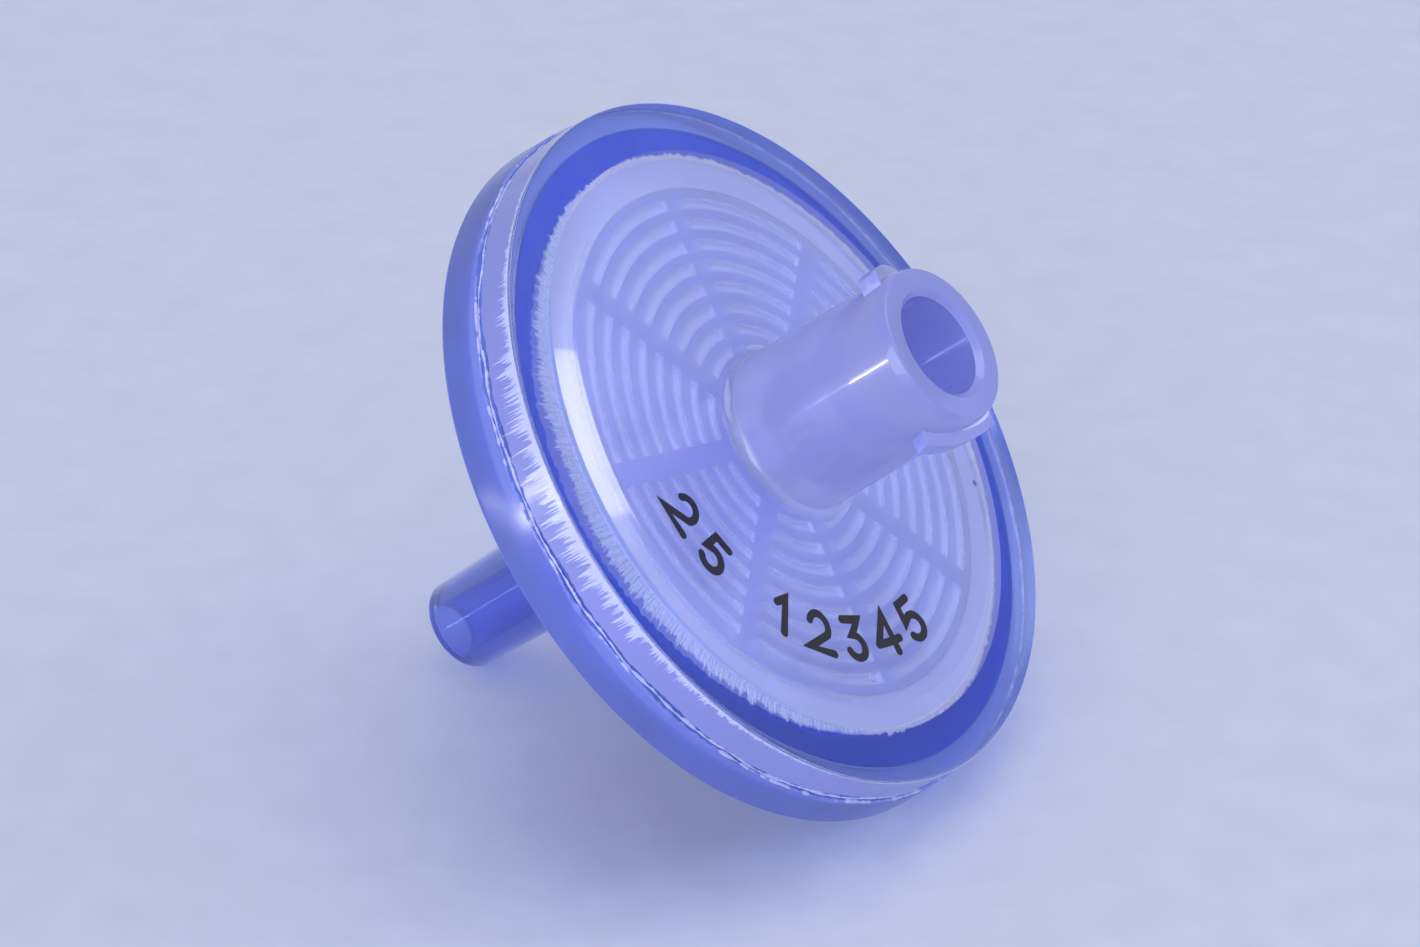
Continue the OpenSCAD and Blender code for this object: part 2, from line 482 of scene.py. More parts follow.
@dataclass(frozen=True)
class ClearPlastic:
    """Clear, slightly milky moulded plastic.

    Attributes:
        name: Name of the material.
        tint: Colour that the plastic lends to light.
        clarity: Share of the light that passes through, from 0 to 1.
        haze: Lowest and highest roughness of the body.
        skin: Weight of the glossy skin over it.
        gloss: Roughness of the skin.
        pattern: How the fine relief runs.
        grain: Steps of the relief per millimetre.
        relief: Height of the relief, in millimetres.
        shade: Colour that lamps keep when they shine through one wall.
    """

    name: str
    tint: Colour
    clarity: float
    haze: tuple[float, float] = (0.10, 0.16)
    skin: float = 1.0
    gloss: float = 0.04
    pattern: Pattern = Pattern.EVEN
    grain: float = 0.6
    relief: float = 0.0015
    shade: Colour = (0.86, 0.88, 0.97)

    def make(self, stand: Stand) -> bpy.types.Material:
        """Builds the material.

        Args:
            stand: Where the filter lies.

        Returns:
            The material, which also lets lamps shine through.
        """
        shader = Shader(self.name, stand)
        if self.pattern is Pattern.ALONG_AXIS:
            where = shader.polar(self.grain * STREAK_TURNS, self.grain * STREAK_RISE, reach=0)
        elif self.pattern is Pattern.ROUND_AXIS:
            where = shader.polar(BAND_TURNS, self.grain, reach=self.grain)
        else:
            where = shader.millimetres(self.grain)
        marks = shader.noise(where, detail=4)
        cloud = shader.noise(shader.millimetres(CLOUD_GRAIN), detail=2)
        deep = tuple(c * CLOUD_TINT for c in self.tint)
        body = shader.add("ShaderNodeBsdfPrincipled", {
            "Base Color": shader.blend(cloud, deep, self.tint),
            "Roughness": shader.between(marks, *self.haze),
            "Normal": shader.bump(marks, self.relief),
            "IOR": PLASTIC_IOR,
            "Transmission Weight": self.clarity,
            "Coat Weight": self.skin,
            "Coat Roughness": self.gloss,
        })
        through = shader.add("ShaderNodeBsdfTransparent", {"Color": (*self.shade, 1)})
        lamp_ray = shader.add("ShaderNodeLightPath", output="Is Shadow Ray")
        return shader.finish(
            shader.add("ShaderNodeMixShader", {"Fac": lamp_ray, 1: body, 2: through})
        )


@dataclass(frozen=True)
class MattFinish:
    """A finish that light doesn't pass, such as film, ink or a floor.

    Attributes:
        name: Name of the material.
        dark: Colour where the fine variation is darkest.
        light: Colour where it is lightest.
        roughness: Lowest and highest roughness.
        grain: Steps of the variation per millimetre.
        relief: Height of the fine relief, in millimetres.
        glow: Share of light that scatters under the surface.
        glow_depth: How far that light goes, in millimetres.
    """

    name: str
    dark: Colour
    light: Colour
    roughness: tuple[float, float] = (0.55, 0.8)
    grain: float = 3.0
    relief: float = 0.003
    glow: float = 0.0
    glow_depth: float = 0.3

    def make(self, stand: Stand | None = None) -> bpy.types.Material:
        """Builds the material.

        Args:
            stand: Where the filter lies, or nothing for the floor.

        Returns:
            The material.
        """
        shader = Shader(self.name, stand)
        marks = shader.noise(shader.millimetres(self.grain), detail=4)
        return shader.finish(shader.add("ShaderNodeBsdfPrincipled", {
            "Base Color": shader.blend(marks, self.dark, self.light),
            "Roughness": shader.between(marks, *self.roughness),
            "Normal": shader.bump(marks, self.relief),
            "Subsurface Weight": self.glow,
            "Subsurface Scale": self.glow_depth * MM,
            "Subsurface Radius": (1.0, 1.0, 1.0),
        }))


Finish = ClearPlastic | MattFinish


# ---- pieces


@dataclass(frozen=True)
class Zone:
    """A range of distance from the axis and of height, in millimetres."""

    r_low: float
    r_high: float
    z_low: float
    z_high: float

    def holds(self, r: float, z: float) -> bool:
        """True if a point at that distance and height lies in the zone."""
        return self.r_low <= r <= self.r_high and self.z_low <= z <= self.z_high


class Piece:
    """One named piece of the filter, laid in place and dressed."""

    def __init__(self, solid: Solid, stand: Stand, slot: str, finish: Finish) -> None:
        """Lays a solid in the row frame, lets it ride on the filter and dresses it.

        Args:
            solid: The solid, in the filter's own frame.
            stand: Where the filter lies.
            slot: Not used.
            finish: The finish of the whole piece.
        """
        self.obj = solid.obj
        self.stand = stand
        solid.move(stand.matrix)
        self.obj.data.materials.clear()
        self.obj.data.materials.append(finish.make(stand))
        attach(self.obj, "root")

    def coat(self, finish: Finish, *zones: Zone) -> None:
        """Gives the faces of some zones a finish of their own.

        Args:
            finish: The finish.
            zones: The zones that it covers.
        """
        mesh = self.obj.data
        mesh.materials.append(finish.make(self.stand))
        back = self.stand.matrix.inverted()
        for face in mesh.polygons:
            x, y, z = back @ face.center / MM
            if any(zone.holds(math.hypot(x, y), z) for zone in zones):
                face.material_index = len(mesh.materials) - 1

    def report(self) -> None:
        """Logs the piece's name and its number of faces."""
        log.info("%s: %d faces", self.obj.name, len(self.obj.data.polygons))


@dataclass
class Part(ABC):
    """A sub-assembly of the filter, with the filter's sizes and the way it lies."""

    sizes: Sizes
    stand: Stand

    @abstractmethod
    def build(self) -> list[Piece]:
        """Builds and dresses the sub-assembly's pieces."""

    def piece(self, solid: Solid, finish: Finish, slot: str = "inlet_housing",
              angle: float = SMOOTH_ANGLE) -> Piece:
        """Makes a piece of a solid.

        Args:
            solid: The solid, in the filter's own frame.
            finish: The finish of the whole piece.
            slot: The record's material slot of the piece.
            angle: Sharpest edge that is shaded smoothly, in degrees.

        Returns:
            The piece.
        """
        solid.smooth(angle)
        return Piece(solid, self.stand, slot, finish)


# ---- forms of the halves


def beside_axis(distance: float, turn: float) -> Matrix:
    """Moves a form away from the axis, by millimetres at a turn in degrees."""
    angle = math.radians(turn)
    way = Vector((math.cos(angle), math.sin(angle), 0))
    return Matrix.Translation(way * distance * MM)


@dataclass
class SupportRibs:
    """Ring-shaped ribs on the inside of a half, cut by straight channels.

    Attributes:
        sizes: The filter's sizes.
        width: Width of a rib.
        groove: Width of the groove between two ribs.
        well_r: Radius of the open well inside the innermost rib.
        channels: Number of straight channels.
        channel_w: Width of a channel.
        turn: Turn of the first channel, in degrees.
        soft: Rounding of a rib's tip.
    """

    sizes: Sizes
    width: float = 0.5
    groove: float = 0.455
    well_r: float = 3.5
    channels: int = 8
    channel_w: float = 1.0
    turn: float = 25.3
    soft: float = 0.18

    def radii(self) -> list[float]:
        """Outer radii of the ribs, from the chamber's wall inwards."""
        pitch = self.width + self.groove
        first = self.sizes.chamber_r - self.groove
        room = first - self.well_r - self.width
        return [first - i * pitch for i in range(int(room / pitch) + 1)]

    def ring(self, outer: float, root_z: float, tip_z: float) -> Solid:
        """One whole rib.

        Args:
            outer: Outer radius of the rib.
            root_z: Height of its root.
            tip_z: Height of its tip.

        Returns:
            The rib's solid.
        """
        return Outline(
            Corner(outer - self.width, root_z),
            Corner(outer - self.width, tip_z, self.soft),
            Corner(outer, tip_z, self.soft),
            Corner(outer, root_z),
        ).lathe("rib")

    def add_to(self, half: Solid, wall_z: float, tip_z: float) -> None:
        """Adds the ribs to a half.

        Args:
            half: The half.
            wall_z: Height of the wall that the ribs stand on.
            tip_z: Height of the ribs' tips.
        """
        root_z = wall_z + math.copysign(SUNK, wall_z - tip_z)
        ribs, *others = (self.ring(outer, root_z, tip_z) for outer in self.radii())
        for other in others:
            ribs.join(other, Join.ADD)
        reach, side = self.sizes.chamber_r, self.channel_w / 2
        low, high = min(root_z, tip_z) - PAST, max(root_z, tip_z) + PAST
        for i in range(self.channels // 2):
            bar = Solid.box("channel", (-reach, -side, low), (reach, side, high))
            turn = math.radians(self.turn + i * 360 / self.channels)
            bar.move(Matrix.Rotation(turn, 4, "Z"))
            ribs.join(bar, Join.CUT)
        half.join(ribs, Join.ADD)


@dataclass
class LockLugs:
    """The two thread lugs on the side of the socket.

    Attributes:
        sizes: The filter's sizes.
        across_r: Radius across the lugs.
        width: Width of a lug between its parallel ends.
        thick: Thickness of a lug along the axis.
        lead: Rise of the thread in one turn.
        set_back: Height from the middle of a lug's front face to the mouth.
        turn: Turn of the first lug, in degrees.
        soft: Rounding of a lug's edges.
        inner_wall: Wall that a lug leaves between itself and the Luer cone.
    """

    sizes: Sizes
    across_r: float = 3.9
    width: float = 3.5
    thick: float = 0.88
    lead: float = 7.5
    set_back: float = 0.97
    turn: float = -21.0
    soft: float = 0.08
    inner_wall: float = 0.35

    def rod(self) -> Solid:
        """A rod as wide as the lugs, which trims them."""
        low, high = self.sizes.face_z, self.sizes.mouth_z
        corners = (0.5, low), (self.across_r, low), (self.across_r, high), (0.5, high)
        return Outline(*(Corner(r, z) for r, z in corners)).lathe("rod")

    def add_to(self, half: Solid) -> None:
        """Adds both lugs to the inlet half."""
        s = self.sizes
        slope = math.atan(self.lead / (math.pi * (self.across_r + s.hub_r)))
        lift = Matrix.Translation((0, 0, (s.mouth_z - self.set_back) * MM))
        low = (s.mouth_r + self.inner_wall, -self.width / 2, -self.thick)
        high = (self.across_r + 1, self.width / 2, 0)
        for side in (0, 180):
            slab = Solid.box("lug", low, high)
            turn = Matrix.Rotation(math.radians(self.turn + side), 4, "Z")
            slab.move(turn @ lift @ Matrix.Rotation(slope, 4, "X"))
            slab.join(self.rod(), Join.TRIM)
            slab.soften(self.soft)
            half.join(slab, Join.ADD)


@dataclass
class GateMark:
    """The small round stub, with a dip in its middle, where the mould was filled.

    Its centre stands in from the edge of the inlet face by set_in, at a turn in degrees.
    """

    sizes: Sizes
    radius: float = 0.25
    height: float = 0.08
    rim_w: float = 0.1
    dip: float = 0.02
    set_in: float = 1.1
    turn: float = -29.5

    def add_to(self, half: Solid) -> None:
        """Adds the stub to the inlet half."""
        low, high = self.sizes.face_z - 2 * SUNK, self.sizes.face_z + self.height
        stub = Outline(
            Corner(0.01, low),
            Corner(self.radius, low),
            Corner(self.radius, high, 0.04),
            Corner(self.radius - self.rim_w, high - self.dip, 0.02),
            Corner(0.01, high - self.dip),
        ).lathe("gate_mark", steps=32)
        stub.move(beside_axis(self.sizes.face_r - self.set_in, self.turn))
        half.join(stub, Join.ADD)


# ---- the three solid pieces


@dataclass
class InletHousing(Part):
    """Inlet half: rim, clear ring, sloped shoulder, face, Luer socket and lugs."""

    face: Finish = ClearPlastic("inlet_face", (0.72, 0.75, 0.99), 0.93, haze=(0.19, 0.24))
    hub: Finish = ClearPlastic(
        "inlet_hub", (0.46, 0.47, 0.84), 0.4, haze=(0.3, 0.4),
        pattern=Pattern.ROUND_AXIS, grain=4.0, relief=0.002,
    )
    mouth: Finish = ClearPlastic(
        "inlet_mouth", (0.47, 0.50, 0.96), 0.5, haze=(0.3, 0.4), skin=0.8
    )
    rim: Finish = ClearPlastic(
        "inlet_rim", (0.22, 0.30, 0.90), 0.88, haze=(0.06, 0.14), gloss=0.12,
        pattern=Pattern.ALONG_AXIS, grain=5.0, relief=0.004,
    )
    ribs: Finish = ClearPlastic(
        "inlet_ribs", (0.76, 0.79, 1.0), 0.90, haze=(0.4, 0.5), skin=0
    )
    ring: Finish = ClearPlastic("inlet_clear_ring", (0.53, 0.66, 1.0), 0.97, skin=0)
    # Painted shade: a deep blue filter on the weld face darkens what is seen through the clear ring
    weld: Finish = ClearPlastic("inlet_weld_face_painted_shade", (0.0, 0.18, 0.92), 0.97, skin=0)
    lugs: Finish = ClearPlastic(
        "inlet_lugs", (0.43, 0.46, 0.94), 0.35, haze=(0.3, 0.5), skin=0.8, grain=12.0, relief=0.02
    )
    # Painted shade: the bore's wall is tinted darker than the hub, for the shade deep in the socket
    socket: Finish = ClearPlastic(
        "inlet_socket_painted_shade", (0.34, 0.36, 0.73), 0.6, haze=(0.1, 0.2), pattern=Pattern.ALONG_AXIS
    )
    tips: Finish = ClearPlastic(
        "inlet_rib_tips", (0.78, 0.80, 1.0), 0.3, haze=(0.3, 0.5), skin=0
    )
    clamp: Finish = ClearPlastic(
        "inlet_clamp", (0.82, 0.845, 1.0), 0.4, haze=(0.3, 0.5), skin=0
    )

    def outline(self) -> Outline:
        """Outline of the half, walked from the port outwards and up to the mouth."""
        s = self.sizes
        chamfer_foot_r = s.mouth_r - s.mouth_chamfer * LUER_TAPER / 2
        return Outline(
            Corner(s.port_r, s.ceiling_z),
            Corner(s.chamber_r, s.ceiling_z, 0.1),
            Corner(s.chamber_r, s.weld_z),
            Corner(s.pocket_r, s.weld_z),
            Corner(s.skirt_r, s.weld_z),
            Corner(s.skirt_r, s.inlet_rim_z),
            Corner(s.inlet_rim_r, s.inlet_rim_z, 0.06),
            Corner(s.inlet_rim_r, s.front_z, s.front_edge_r),
            Corner(s.shoulder_r, s.front_z, 0.12),
            Corner(s.face_r, s.face_z, 0.9),
            Corner(s.hub_base_r, s.face_z, s.hub_fillet_r),
            Corner(s.hub_r, s.lip_z, 0.04),
            Corner(s.lip_r, s.mouth_z, 0.12),
            Corner(s.mouth_r + s.mouth_chamfer, s.mouth_z, 0.05),
            Corner(chamfer_foot_r, s.mouth_z - s.mouth_chamfer, 0.05),
            Corner(s.socket_end_r, s.mouth_z - s.socket_depth, 0.15),
            Corner(s.port_r, s.mouth_z - s.socket_depth, 0.1),
        )

    def build(self) -> list[Piece]:
        """Builds and dresses the half, which stands for its CAD node.

        Returns:
            The half.
        """
        s = self.sizes
        half = self.outline().lathe("inlet_shell")
        SupportRibs(s).add_to(half, s.ceiling_z, s.weld_z)
        LockLugs(s).add_to(half)
        GateMark(s).add_to(half)
        piece = self.piece(half, self.face)
        near_weld = s.weld_z - 0.01, s.weld_z + 0.01
        piece.coat(self.hub, Zone(0, PAST_LUGS_R, s.face_z + 0.3, s.mouth_z + 1))
        piece.coat(self.mouth, Zone(s.mouth_r - 0.01, s.hub_r, s.lip_z + 0.02, s.mouth_z + 0.01))
        piece.coat(self.rim, Zone(s.inlet_rim_r - 0.02, PAST_RIM_R, s.inlet_rim_z, s.front_z - 0.02))
        piece.coat(self.ribs, Zone(0, s.chamber_r + 0.01, s.weld_z - 1, s.ceiling_z + 0.01))
        piece.coat(self.ring, Zone(s.shoulder_r + 0.05, PAST_RIM_R, s.front_z - 0.1, s.front_z + 0.02))
        # Painted shade on the weld face, darkening the clear ring
        piece.coat(self.weld, Zone(s.pocket_r, s.skirt_r, *near_weld))
        piece.coat(self.lugs, Zone(s.hub_base_r + 0.02, PAST_LUGS_R, s.face_z + 4, s.mouth_z - 0.3))
        # Painted shade in the socket's bore
        piece.coat(self.socket, Zone(0, s.mouth_r, s.ceiling_z + 1, s.mouth_z - s.mouth_chamfer))
        piece.coat(self.tips, Zone(0, s.chamber_r - 0.1, s.weld_z - 0.01, s.weld_z + 0.19))
        piece.coat(self.clamp, Zone(s.chamber_r, s.pocket_r, *near_weld))
        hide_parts("inlet_housing")
        return [piece]


@dataclass
class FilterMembrane(Part):
    """Thin white membrane disc between the halves."""

    film: Finish = MattFinish(
        "membrane_film", (0.43, 0.465, 0.90), (0.47, 0.505, 0.95), grain=2.0, glow=0.2
    )

    def build(self) -> list[Piece]:
        """Builds and dresses the membrane, which stands for its CAD node.

        Returns:
            The membrane.
        """
        s = self.sizes
        low, high = s.seat_z + s.hairline, s.weld_z - s.hairline
        disc = Outline(
            Corner(0.02, low),
            Corner(s.membrane_r, low, 0.03),
            Corner(s.membrane_r, high, 0.03),
            Corner(0.02, high),
        ).lathe("membrane_disc")
        piece = self.piece(disc, self.film, "filter_membrane")
        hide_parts("filter_membrane")
        return [piece]


@dataclass
class OutletHousing(Part):
    """Outlet half: rim, recessed back, boss and the Luer slip nozzle."""

    # Distance from the axis at which the finish of the rim's wall starts
    rim_wall_r: float = 14.6
    back: Finish = ClearPlastic("outlet_back", (0.40, 0.46, 0.93), 0.9)
    rim: Finish = ClearPlastic(
        "outlet_rim", (0.26, 0.33, 0.93), 0.6, haze=(0.16, 0.22), skin=0,
        pattern=Pattern.ALONG_AXIS, grain=3.0, relief=0.001,
    )
    nozzle: Finish = ClearPlastic(
        "outlet_nozzle", (0.22, 0.28, 0.84), 0.85, haze=(0.08, 0.12), pattern=Pattern.ROUND_AXIS
    )
    ribs: Finish = ClearPlastic(
        "outlet_ribs", (0.60, 0.64, 1.0), 0.95, haze=(0.2, 0.3), skin=0
    )
    # Painted shade: a deep blue filter on the weld land and the rear ring darkens what is seen through
    # the clear ring
    land: Finish = ClearPlastic("outlet_weld_land_painted_shade", (0.05, 0.15, 0.88), 0.95, skin=0)

    def outline(self) -> Outline:
        """Outline of the half, walked from the nozzle's tip outwards and back over the floor."""
        s = self.sizes
        land_z = s.weld_z - s.hairline
        return Outline(
            Corner(s.bore_r, s.tip_z, 0.08),
            Corner(s.tip_r, s.tip_z, s.tip_edge_r),
            Corner(s.nozzle_root_r, s.boss_z, 0.1),
            Corner(s.boss_r, s.boss_z, s.boss_edge_r),
            Corner(s.boss_r, s.back_z, s.boss_fillet_r),
            Corner(s.recess_r, s.back_z, 0.1),
            Corner(s.back_r, 0, 0.1),
            Corner(s.rim_r, 0, s.rear_edge_r),
            Corner(s.seam_r, s.seam_z, 0.06),
            Corner(s.land_r, s.seam_z),
            Corner(s.land_r, land_z),
            Corner(s.pocket_r, land_z),
            Corner(s.pocket_r, s.seat_z),
            Corner(s.chamber_r, s.seat_z),
            Corner(s.chamber_r, s.floor_z, 0.1),
            Corner(s.bore_r, s.floor_z, 0.1),
        )

    def build(self) -> list[Piece]:
        """Builds and dresses the half, which stands for its CAD node.

        Returns:
            The half.
        """
        s, wall_r = self.sizes, self.rim_wall_r
        half = self.outline().lathe("outlet_shell")
        SupportRibs(s).add_to(half, s.floor_z, s.seat_z)
        self.rest_on_table(half)
        piece = self.piece(half, self.back, "outlet_housing")
        land = Zone(s.membrane_r, wall_r, s.seat_z + 0.02, s.weld_z)
        rear_ring = Zone(s.back_r - 0.05, wall_r, -0.05, 0.05)
        piece.coat(self.rim, Zone(wall_r, PAST_RIM_R, -1, s.seam_z - 0.01))
        piece.coat(self.nozzle, Zone(0, s.boss_r + 0.5, s.tip_z - 1, s.back_z))
        piece.coat(self.ribs, Zone(0, s.chamber_r + 0.01, s.floor_z - 0.01, s.seat_z + 0.01))
        # Painted shade on the land and the rear ring, darkening the clear ring
        piece.coat(self.land, land, rear_ring)
        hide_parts("outlet_housing")
        return [piece]

    def rest_on_table(self, half: Solid) -> None:
        """Cuts the small flat that the rim rests on."""
        reach = self.sizes.rim_r
        table = Solid.box("table", (-2 * reach, -reach, -reach), (2 * reach, reach, 0))
        table.move(self.stand.matrix.inverted())
        half.join(table, Join.CUT)


# ---- melted plastic of the weld


@dataclass(frozen=True)
class Grain:
    """Repeatable unevenness that changes with the angle round the axis.

    Attributes:
        rate: Steps of the unevenness per radian.
        seed: Place in the noise, so that each grain differs.
    """

    rate: float
    seed: float

    def at(self, angle: float) -> float:
        """The unevenness at an angle in radians, about -1 to 1, the same after a full turn."""
        spot = Vector((math.cos(angle) * self.rate, math.sin(angle) * self.rate, self.seed))
        return 2 * noise.noise(spot)


@dataclass(frozen=True)
class Swell:
    """Where the weld pressed out the most: its middle and its spread to each side, in degrees."""

    middle: float
    spread: float

    def at(self, angle: float) -> float:
        """The swell at an angle in radians, 1 at its middle and 0 on the far side."""
        apart = math.degrees(math.remainder(angle - math.radians(self.middle), 2 * math.pi))
        return math.exp(-((apart / self.spread) ** 2))


def round_points(r: float, z: float, size: float, count: int) -> list[Point]:
    """Corners of an even polygon round a point, with their distance from it."""
    turns = (2 * math.pi * k / count for k in range(count))
    return [(r + size * math.cos(t), z + size * math.sin(t)) for t in turns]


@dataclass(frozen=True)
class FlashBead:
    """One thin lumpy bead of plastic round the rim.

    Attributes:
        number: Number of the bead, which also makes its lumps differ.
        r: Distance of its middle from the axis.
        z: Height of its middle.
        thick: Usual radius of the bead.
        limit_r: Distance from the axis that it stays within.
    """

    number: int
    r: float
    z: float
    thick: float
    limit_r: float = Sizes.seam_r

    def outline(self, angle: float) -> list[Point]:
        """Outline of the bead at an angle.

        Args:
            angle: The angle, in radians.

        Returns:
            Its points, walked once round.
        """
        wander = Grain(9, self.number + 0.3).at(angle)
        lumps = Grain(26, self.number + 5.1).at(angle)
        nicks = Grain(70, self.number + 9.7).at(angle)
        middle_z = self.z + 0.07 * wander + 0.02 * nicks
        size = self.thick * max(0.25, 1 + 0.55 * lumps + 0.4 * nicks)
        return [(min(r, self.limit_r), z) for r, z in round_points(self.r, middle_z, size, 8)]


@dataclass
class WeldFlash(Part):
    """Two beads of plastic that the weld pressed out at the seam of the rims."""

    beads: tuple[FlashBead, ...] = (
        FlashBead(1, 15.24, 1.92, 0.06), FlashBead(2, 15.12, 2.04, 0.05)
    )
    steps: int = 900
    angle: float = 60.0
    finish: Finish = ClearPlastic(
        "weld_flash", (0.72, 0.75, 1.0), 0.35, haze=(0.1, 0.3), gloss=0.1, grain=4.0, relief=0.01
    )

    def build(self) -> list[Piece]:
        """Builds and dresses the beads.

        Returns:
            The beads.
        """
        pieces = []
        for bead in self.beads:
            solid = Solid.turned(f"weld_flash_{bead.number}", bead.outline, self.steps)
            pieces.append(self.piece(solid, self.finish, "outlet_housing", self.angle))
        return pieces


@dataclass
class MeltFringe(Part):
    """Ragged edge of melted plastic in the weld plane, round the membrane.

    Attributes:
        steps: Number of steps round the axis.
        swell: Where the fringe reaches out the most.
        teeth: Fine changes of its reach, which make its teeth.
        tongues: Broader changes of its reach.
        drift: Slow change of its reach.
        lumps: Unevenness of its top.
        white: Finish of the fringe and its bead.
        thin: Finish of the haze.
    """

    steps: int = 3600
    swell: Swell = Swell(middle=-105.0, spread=48.0)
    teeth: Grain = Grain(210, 2.5)
    tongues: Grain = Grain(42, 7.1)
    drift: Grain = Grain(3, 4.4)
    lumps: Grain = Grain(150, 6.6)
    white: Finish = ClearPlastic(
        "melt_fringe", (0.93, 0.905, 1.0), 0.25, haze=(0.2, 0.5), gloss=0.08, grain=6.0, relief=0.02
    )
    thin: Finish = ClearPlastic(
        "melt_haze", (0.68, 0.67, 1.0), 0.85, haze=(0.3, 0.5), skin=0
    )

    @property
    def low(self) -> float:
        """Height of the weld plane, with a hairline above it."""
        return self.sizes.weld_z + self.sizes.hairline

    def fringe(self, angle: float) -> list[Point]:
        """Outline of the white fringe at an angle.

        Args:
            angle: The angle, in radians.

        Returns:
            Its points, walked once round.
        """
        swell, root = self.swell.at(angle), self.sizes.pocket_r
        ragged = 0.12 * self.tongues.at(angle) + 0.24 * abs(self.teeth.at(angle))
        reach = 0.15 + 0.46 * swell + 0.06 * self.drift.at(angle) + (0.4 + 1.1 * swell) * ragged
        edge = root + max(0.12, reach)
        foot, top = self.low + 0.05, self.low + 0.12 + 0.035 * self.lumps.at(angle)
        return [
            (root - 0.02, foot), (edge, foot), (max(edge - 0.32, root + 0.05), top), (root - 0.02, top)
        ]

    def haze(self, angle: float) -> list[Point]:
        """Outline of the thin haze that reaches past the fringe, at an angle.

        Args:
            angle: The angle, in radians.

        Returns:
            Its points, walked once round.
        """
        root = self.sizes.pocket_r
        reach = 0.1 + 1.2 * self.swell.at(angle) * (1 + 0.1 * self.tongues.at(angle))
        edge = min(root + reach, self.sizes.land_r - 0.1)
        return [(root, self.low), (edge, self.low), (root, self.low + 0.03)]

    def bead(self, angle: float) -> list[Point]:
        """Outline of the bead at the fringe's root, at an angle in radians."""
        size = 0.07 * (1 + 0.2 * self.lumps.at(angle))
        return round_points(self.sizes.pocket_r - 0.03, self.low + 0.24, size, 6)

    def build(self) -> list[Piece]:
        """Builds and dresses the fringe, the haze and the bead.

        Returns:
            The three pieces.
        """
        fringe = Solid.turned("melt_fringe", self.fringe, self.steps)
        haze = Solid.turned("melt_haze", self.haze, self.steps)
        bead = Solid.turned("melt_bead", self.bead, self.steps)
        dressed = (fringe, self.white), (haze, self.thin), (bead, self.white)
        return [self.piece(solid, finish) for solid, finish in dressed]


@dataclass
class MeltSkirt(Part):
    """Cloudy layer of melted plastic on the inlet half's rim, with a comb of melted teeth at its front
    that is partly a painted highlight.

    Attributes:
        steps: Number of steps round the axis.
        swell: Where the comb's teeth are longest, which is where its painted highlight sits.
        cloudy: Where the cloudy layer covers the rim.
        lean: How much both lean out towards their foot.
        cloud: Finish of the layer.
        bright: Finish of the comb, whiter than the rim as a painted highlight.
    """

    steps: int = 4800
    swell: Swell = Swell(middle=-108.0, spread=34.0)
    cloudy: Swell = Swell(middle=-85.0, spread=85.0)
    lean: float = 0.035
    cloud: Finish = ClearPlastic(
        "melt_cloud", (0.37, 0.40, 0.84), 0.4, haze=(0.3, 0.6), gloss=0.09, grain=2.5, relief=0.003
    )
    # Painted highlight: the comb is whiter than the rim, for the lamp's glint on the melted teeth
    bright: Finish = ClearPlastic(
        "melt_comb_painted_highlight", (0.74, 0.76, 1.0), 0.3, haze=(0.2, 0.5), gloss=0.2,
        pattern=Pattern.ALONG_AXIS, grain=8.0, relief=0.016,
    )

    def frost(self, foot: float, top: float, proud: float, thick: float) -> list[Point]:
        """Outline of a thin layer on the rim's wall.

        Args:
            foot: Height of the layer's foot.
            top: Height of its top.
            proud: How far its outside stands out of the wall at the top.
            thick: Its thickness.

        Returns:
            Four points, walked once round.
        """
        high = self.sizes.inlet_rim_r + proud
        low = high + self.lean * (self.sizes.front_z - foot)
        return [(low, foot), (high, top), (high - thick, top), (low - thick, foot + 0.005)]

    def layer(self, angle: float) -> list[Point]:
        """Outline of the cloudy layer at an angle.

        Args:
            angle: The angle, in radians.

        Returns:
            Its points, walked once round.
        """
        rim_z, top = self.sizes.inlet_rim_z, self.sizes.front_z - 0.1
        comb, wave, drift = Grain(48, 3.9), Grain(7, 6.2), Grain(2, 8.8)
        foot = rim_z + 0.10 + 0.07 * wave.at(angle) + 0.03 * comb.at(angle)
        foot = max(foot + 0.06 * drift.at(angle), rim_z + 0.03)
        foot += (1 - min(1.0, 3 * self.cloudy.at(angle))) * (top - 0.1 - foot)
        return self.frost(foot, top, proud=0.008, thick=0.012)

    def comb(self, angle: float) -> list[Point]:
        """Outline of the comb's tooth at an angle; teeth are longest where the painted highlight sits.

        Args:
            angle: The angle, in radians.

        Returns:
            Its points, walked once round.
        """
        teeth, tufts, drift = Grain(420, 1.7), Grain(64, 5.5), Grain(3, 2.9)
        swell, top = self.swell.at(angle), self.sizes.front_z - 0.09
        # Painted highlight: teeth are longest at the swell, where the rim's highlight falls
        length = 0.01 + swell * (0.54 + 0.12 * drift.at(angle))
        length *= 1 + 1.1 * teeth.at(angle) + 0.6 * tufts.at(angle)
        foot = top - max(0.01 + 0.18 * swell, length)
        return self.frost(foot, top, proud=0.030, thick=0.018)

    def build(self) -> list[Piece]:
        """Builds and dresses the layer and its comb.

        Returns:
            The two pieces.
        """
        layer = Solid.turned("melt_skirt", self.layer, self.steps)
        comb = Solid.turned("melt_comb_painted_highlight", self.comb, self.steps)
        return [self.piece(layer, self.cloud), self.piece(comb, self.bright)]


# ---- speck and print


